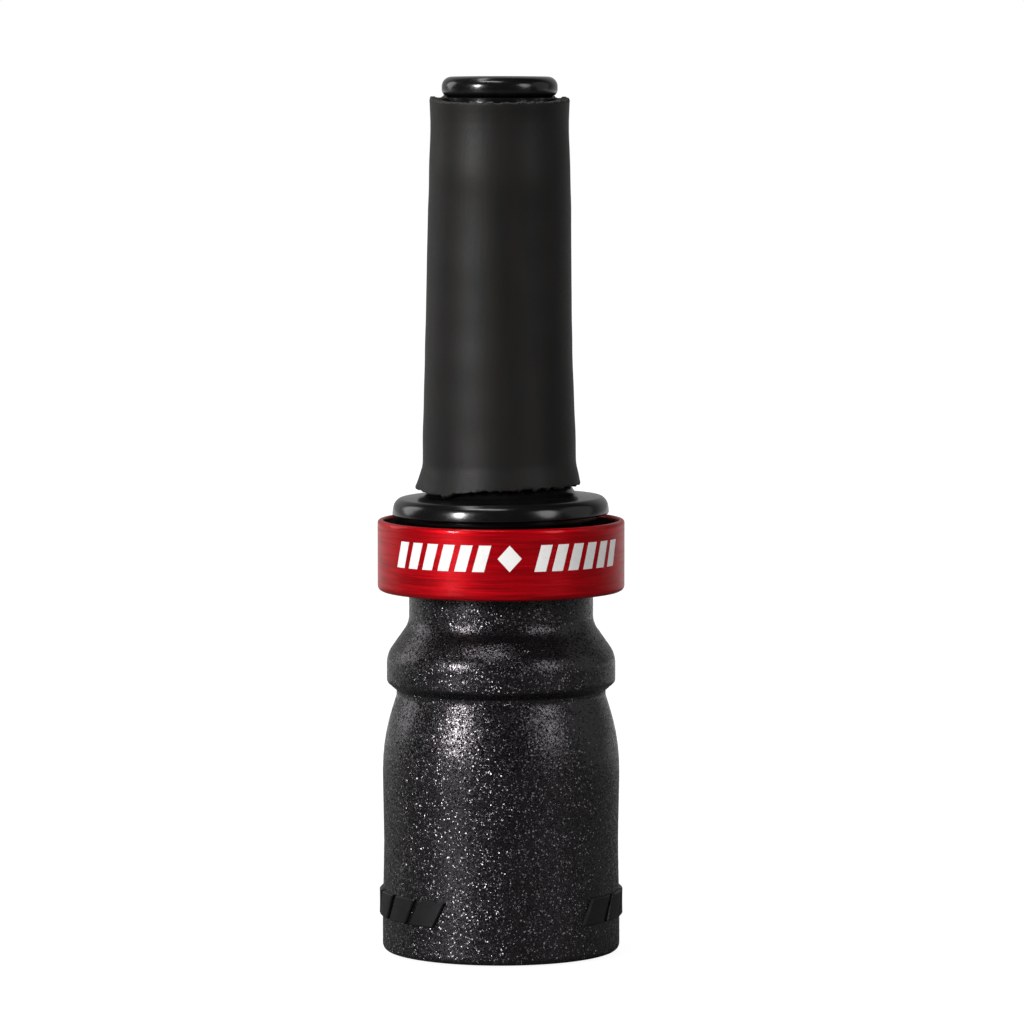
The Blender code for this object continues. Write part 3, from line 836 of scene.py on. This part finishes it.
def make_tube(gloss):
    stem = [(r - SLEEVE_WALL - STEM_PLAY, z) for r, z in SLEEVE_LINE[1:]]
    corners = [
        (LIP_R, TUBE_HIGH.z, 1.34),
        (LIP_R, LIP_BOTTOM_Z, 0.9),
        (LIP_NECK_R, LIP_BOTTOM_Z, 0.2),
        (LIP_NECK_R, 116.7),
        *stem,
        (9.3, 65.3, 1.0),
        (STEM_FOOT_R, 63.33, 1.2),
        (14.05, 62.85, 0.9),
        (14.72, 62.2, 1.5),
        (14.9, 61.3, 4.0),
        (COLLAR_R, COLLAR_BOTTOM_Z, 0.28),
        (COLLAR_STEP_R, COLLAR_BOTTOM_Z, 0.2),
        (COLLAR_STEP_R, SPIGOT_TOP_Z, 0.2),
        (SPIGOT_R, SPIGOT_TOP_Z, 0.2),
        *(corner for z in SEAL_HEIGHTS for corner in groove(SPIGOT_R, SEAL_FLOOR_R, z, SEAL_HALF)),
        (SPIGOT_R, TUBE_LOW.z, 0.7),
        (SPIGOT_BORE_R, TUBE_LOW.z, 0.5),
        (SPIGOT_BORE_R, SEAT_LOW_Z),
        (SEAT_R, SEAT_LOW_Z),
        (SEAT_R, SEAT_HIGH_Z),
        (STEM_BORE_R, SEAT_HIGH_Z + 1),
        (STEM_BORE_R, 110.0),
        (LIP_BORE_R, 111.5),
        (LIP_BORE_R, TUBE_HIGH.z, 1.0),
    ]
    tube = turned("mouthpiece_body", corners, gloss, TUBE_SIDES)
    cut(tube, slot_cutter("window", WINDOW_WIDTH, WINDOW_LOW_Z, WINDOW_HIGH_Z, WINDOW_DEPTHS))
    settle(tube.data)
    shade(tube, 40)
    finish_piece(tube, "mouthpiece", "gloss_black", "mouthpiece_tube")


def sleeve_spacing(r, z, normal):
    if min(abs(z - SLEEVE_HIGH.z), abs(z - SLEEVE_LOW.z)) < CUT_REACH:
        return CUT_SPACING
    return SKIN_SPACING if normal[0] > 0 else LINING_SPACING


def sleeve_loop():
    """The sleeve's outline, down its outside and up its inside, before it is cut and bent."""
    outside = [(*SLEEVE_LINE[0], 0.2), *((r, z, 30.0) for r, z in SLEEVE_LINE[1:-1])]
    outside += [(*SLEEVE_LINE[-1], 5.0), (SLEEVE_HEM_R, SLEEVE_LOW.z, 0.15)]
    inside = [(SLEEVE_HEM_R - SLEEVE_WALL, SLEEVE_LOW.z, 0.15)]
    inside += [(r - SLEEVE_WALL, z) for r, z in reversed(SLEEVE_LINE)]
    return resampled(curve_points(outside + inside, SLEEVE_ARC_STEP), sleeve_spacing)


def fade(distance, reach):
    """1 where distance is 0, and next to nothing beyond twice the reach."""
    return math.exp(-((distance / reach) ** 2))


def burr_line(rng, angle):
    """The heights round a cut where the knife dragged: ragged, with a burr here and there."""
    ragged = rng.normal(size=angle.size)
    ragged = 0.5 * ragged + 0.25 * (np.roll(ragged, 1) + np.roll(ragged, -1))
    line = RAGGED * ragged
    for _ in range(BURRS):
        centre = rng.uniform(0, 2 * math.pi)
        away = np.abs((angle - centre + math.pi) % (2 * math.pi) - math.pi)
        line += rng.uniform(*BURR_HEIGHTS) * np.exp(-(away / rng.uniform(*BURR_WIDTHS)) ** 2)
    return line


def make_sleeve(skin, cut_end):
    """Extruded rubber tubing, cut by hand at both ends and pulled over the stem."""
    loop = sleeve_loop()
    normals = outline_normals(loop)
    rng = np.random.default_rng(SLEEVE_SEED)
    radii = np.repeat(loop[:, :1], SLEEVE_SIDES, axis=1)
    heights = np.repeat(loop[:, 1:], SLEEVE_SIDES, axis=1)
    angle = np.arange(SLEEVE_SIDES) * (2 * math.pi / SLEEVE_SIDES)
    facing = np.cos(angle + math.pi / 2)  # 1 at the front, -1 at the back
    top_wave = TOP_WAVE * smooth_noise(rng, SLEEVE_SIDES, TOP_HARMONICS) - TOP_CUT * (1 + facing)
    hem_wave = np.interp(np.degrees(angle), HEM_ANGLES, HEM_OFFSETS)
    hem_wave += HEM_WAVE * smooth_noise(rng, SLEEVE_SIDES, HEM_HARMONICS)
    top_burrs = burr_line(rng, angle)
    hem_burrs = burr_line(rng, angle)
    on_cut = []
    for i, ((r, z), normal) in enumerate(zip(loop, normals)):
        from_top = SLEEVE_HIGH.z - z
        from_hem = z - SLEEVE_LOW.z
        heights[i] += top_wave * fade(from_top, TOP_REACH)
        heights[i] += hem_wave * fade(from_hem, HEM_REACH)
        inner_r = TOP_INNER_R if from_top < from_hem else HEM_INNER_R
        share = 1.0 if normal[0] > LINING and r > inner_r else INNER_BURR
        heights[i] += top_burrs * share * fade(from_top, BURR_REACH)
        heights[i] -= hem_burrs * share * fade(from_hem, BURR_REACH)
        wobble = sum(size * math.sin(z * rate + phase) for size, rate, phase in WOBBLES)
        radii[i] += wobble * np.cos(2 * angle + WOBBLE_TWIST * z)
        radii[i] += SWELL * fade(z - SWELL_Z, SWELL_REACH) * np.clip(facing, 0, 1)
        if from_top < GRIT_REACH or from_hem < GRIT_REACH:
            radii[i] += rng.normal(scale=CUT_GRIT, size=SLEEVE_SIDES)
        on_cut.append(abs(normal[1]) > CUT_LEVEL and min(abs(from_top), abs(from_hem)) < CUT_FACE)
    shift = np.interp(loop[:, 1], BEND_HEIGHTS, BEND_SHIFTS)
    mesh = ring_mesh("rubber_sleeve", radii, heights, SLEEVE_SIDES, shift[:, None])
    sleeve = add("rubber_sleeve", mesh, skin, cut_end)
    mesh.polygons.foreach_set("material_index", np.repeat(np.array(on_cut, dtype=np.int32), SLEEVE_SIDES))
    finish_piece(shade(sleeve), "mouthpiece", "sleeve_rubber", "bite_sleeve")


def make_oring(name, node, body, mat):
    """A smooth ring the size of that node, with the thin mould line round its outside."""
    low, high = (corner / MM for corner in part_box(node))
    section = (high.z - low.z) / 2
    centre_r = high.x - section
    middle = (low.z + high.z) / 2
    points = []
    for k in range(ORING_POINTS):
        angle = -2 * math.pi * k / ORING_POINTS
        flash = FLASH if k == 0 else 0.0
        points.append((centre_r + (section + flash) * math.cos(angle), middle + section * math.sin(angle)))
    ring = turned(name, points, mat, ORING_SIDES, sharp_degrees=None)
    finish_piece(ring, body, "oring_rubber", node)


# Reed assembly ------------------------------------------------------------------------------------------


def make_tone_board(mat):
    low, high = (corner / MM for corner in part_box("tone_board"))
    top = high.z
    corners = [
        (BOARD_R, top, 0.8),
        *groove(BOARD_R, *TIE_SEAL),
        (BOARD_R, SHANK_HIGH_Z, 0.15),
        (SHANK_R, SHANK_HIGH_Z, 0.2),
        (SHANK_R, PLUG_HIGH_Z, 0.1),
        (PLUG_R, PLUG_HIGH_Z, 0.35),
        *groove(PLUG_R, *PLUG_SEAL),
        (PLUG_R, low.z, 0.6),
        (AXIS_R, low.z),
        (AXIS_R, top),
    ]
    board = turned("tone_board_body", corners, mat, BOARD_SIDES)
    behind = -CUTTER_DEPTH
    face = [(behind, SHANK_HIGH_Z), (0.0, SHANK_HIGH_Z)]
    for k in range(LAY_STEPS + 1):
        face.append((LAY_DROP * (k / LAY_STEPS) ** 2, LAY_START_Z + (top - LAY_START_Z) * k / LAY_STEPS))
    face += [(LAY_DROP, top + 1), (behind, top + 1)]
    channel = slot_cutter("channel", CHANNEL_WIDTH, CHANNEL_LOW_Z, CHANNEL_HIGH_Z, CHANNEL_DEPTHS)
    place = (0, BORE_Y * MM, (low.z + BORE_MIDDLE) * MM)
    bpy.ops.mesh.primitive_cylinder_add(
        vertices=BORE_SIDES, radius=BORE_R * MM, depth=BORE_LENGTH * MM, location=place
    )
    bore = bpy.context.object
    cut(board, profile_cutter("lay", face), channel, bore)
    finish_piece(shade(board, 35), "reed_insert", "tone_board_plastic", "tone_board")


def make_wedge(mat):
    low, high = (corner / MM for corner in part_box("reed_wedge"))
    corners = [
        (WEDGE_R, high.z, 1.3),
        *groove(WEDGE_R, *TIE_SEAL),
        (WEDGE_R, low.z, 0.35),
        (AXIS_R, low.z),
        (AXIS_R, high.z),
    ]
    wedge = turned("wedge_body", corners, mat, WEDGE_SIDES)
    near, far = high.y, WEDGE_CUT_Y
    keep_out = [(near, low.z - 1), (far, low.z - 1), (far, high.z + 1), (near, high.z + 1)]
    cut(wedge, profile_cutter("wedge_face", keep_out))
    finish_piece(shade(wedge, 35), "reed_insert", "wedge_cork", "reed_wedge")


def make_reed(mat):
    """The reed: a thin strip with a round tip and slightly broken edges."""
    low, high = (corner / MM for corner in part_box("reed"))
    half = high.x
    butt = [(-half, low.z, REED_BUTT_FILLET), (half, low.z, REED_BUTT_FILLET)]
    tip = [(half, high.z, REED_TIP_FILLET), (-half, high.z, REED_TIP_FILLET)]
    outline = curve_points(butt + tip)
    middle_y = (low.y + high.y) / 2
    shape = bmesh.new()
    face = shape.faces.new([shape.verts.new(Vector((p[0], high.y, p[1])) * MM) for p in outline])
    made = bmesh.ops.extrude_face_region(shape, geom=[face])
    moved = [v for v in made["geom"] if isinstance(v, bmesh.types.BMVert)]
    bmesh.ops.translate(shape, verts=moved, vec=Vector((0, low.y - high.y, 0)) * MM)
    rims = [e for e in shape.edges if all(abs(v.co.y / MM - middle_y) > REED_SKIN for v in e.verts)]
    rims = [e for e in rims if abs(e.verts[0].co.y - e.verts[1].co.y) < SAME_PLANE]
    bmesh.ops.bevel(shape, geom=rims, offset=REED_EDGE * MM, segments=2, affect="EDGES")
    strip = shade(add("reed_strip", mesh_from("reed_strip", shape), mat), 30)
    finish_piece(strip, "reed", "reed_film", "reed")


# Stage --------------------------------------------------------------------------------------------------


def make_camera():
    data = bpy.data.cameras.new("camera")
    data.lens = CAMERA_LENS
    data.sensor_width = SENSOR_WIDTH
    camera = bpy.data.objects.new("camera", data)
    camera.location = CAMERA_PLACE
    camera.rotation_euler = (math.radians(90 - CAMERA_PITCH), 0, math.radians(CAMERA_PAN))
    bpy.context.scene.collection.objects.link(camera)
    bpy.context.scene.camera = camera


def make_light(name, azimuth, elevation, size, power):
    """An oval light aimed at the call: azimuth 0 is at the front (-Y) and positive to the right."""
    data = bpy.data.lights.new(name, "AREA")
    data.shape = "ELLIPSE"
    data.size, data.size_y = size
    data.energy = power
    light = bpy.data.objects.new(name, data)
    a, e = math.radians(azimuth), math.radians(elevation)
    away = Vector((math.sin(a) * math.cos(e), -math.cos(a) * math.cos(e), math.sin(e)))
    light.location = Vector(LIGHT_AIM) + away * LIGHT_DISTANCE
    light.rotation_mode = "QUATERNION"
    light.rotation_quaternion = away.to_track_quat("Z", "Y")
    bpy.context.scene.collection.objects.link(light)
    return light


def make_world():
    """White all round for the camera. On the object, a bright backdrop behind and a dim studio in front."""
    world = bpy.data.worlds.new("studio")
    bpy.context.scene.world = world
    s = Shader(world, "Background")
    s.plain(Color=(1, 1, 1, 1))
    where = s.node("ShaderNodeTexCoord").outputs["Generated"]
    depth = s.node("ShaderNodeSeparateXYZ", {0: where}).outputs["Y"]
    behind = s.ramp(depth, *BACKDROP_EDGE, STUDIO_DIM, BACKDROP, interpolation_type="SMOOTHSTEP")
    seen = s.node("ShaderNodeLightPath").outputs["Is Camera Ray"]
    s.use(Strength=s.node("ShaderNodeMix", {"Factor": seen, "A": behind, "B": 1.0}).outputs["Result"])


def make_floor():
    """A pale round table top, white to the camera and clear from below. Toward the call it glows, giving off
    light behind the call and inside its bell.
    """
    s = new_material("floor_white")
    s.plain(Base_Color=(0.12, 0.12, 0.12, 1), Roughness=0.6, Emission_Color=(1, 1, 1, 1))
    clear = s.node("ShaderNodeBsdfTransparent").outputs[0]
    below = s.node("ShaderNodeNewGeometry").outputs["Backfacing"]
    either = s.node("ShaderNodeMixShader", {0: below, 1: s.surface.outputs[0], 2: clear}).outputs[0]
    s.tree.links.new(either, s.tree.nodes["Material Output"].inputs["Surface"])
    spot = s.node("ShaderNodeTexCoord").outputs["Object"]
    reach = s.node("ShaderNodeVectorMath", {0: spot}, operation="LENGTH").outputs["Value"]
    depth = s.node("ShaderNodeSeparateXYZ", {0: spot}).outputs["Y"]
    # the glow the floor gives off toward the call: a sweep of light behind it and a lamp disc inside the bell
    sweep = s.ramp(depth, *SWEEP, 0.0, SWEEP_STRENGTH)
    lamp = s.ramp(reach, *LAMP_EDGE, LAMP_STRENGTH, 0.0)
    lit = s.node("ShaderNodeMath", {0: sweep, 1: lamp}, operation="ADD").outputs["Value"]
    seen = s.ramp(reach, *HALO, HALO_WHITE, 1.0)
    camera = s.node("ShaderNodeLightPath").outputs["Is Camera Ray"]
    strength = s.node("ShaderNodeMix", {"Factor": camera, "A": lit, "B": seen}).outputs["Result"]
    mat = s.use(Emission_Strength=strength)
    shape = bmesh.new()
    bmesh.ops.create_circle(shape, cap_ends=True, segments=FLOOR_SIDES, radius=FLOOR_R)
    mesh = bpy.data.meshes.new("floor")
    shape.to_mesh(mesh)
    shape.free()
    floor = add("floor", mesh, mat)
    floor.location.z = FLOOR_Z


def make_stage():
    bpy.context.scene.view_settings.view_transform = "Standard"
    make_camera()
    make_world()
    make_floor()
    for light in LIGHTS:
        make_light(*light)
    soft = make_light(*SOFT_LIGHT)
    soft.visible_glossy = False  # it lifts the print and the dye without a highlight of its own


def main():
    make_stage()
    make_barrel(stippled_plastic(), pad_plastic(), dull_plastic())
    make_band(red_anodised(), white_ink())
    make_tube(gloss_plastic())
    make_sleeve(sleeve_rubber(), cut_rubber())
    rubber = ring_rubber()
    make_oring("upper_spigot_seal", "spigot_oring_upper", "spigot_orings", rubber)
    make_oring("lower_spigot_seal", "spigot_oring_lower", "spigot_orings", rubber)
    make_oring("insert_seal", "insert_oring", "reed_insert", rubber)
    make_oring("reed_tie", "reed_band", "reed_insert", rubber)
    make_tone_board(board_plastic())
    make_wedge(wedge_cork())
    make_reed(reed_film())


main()
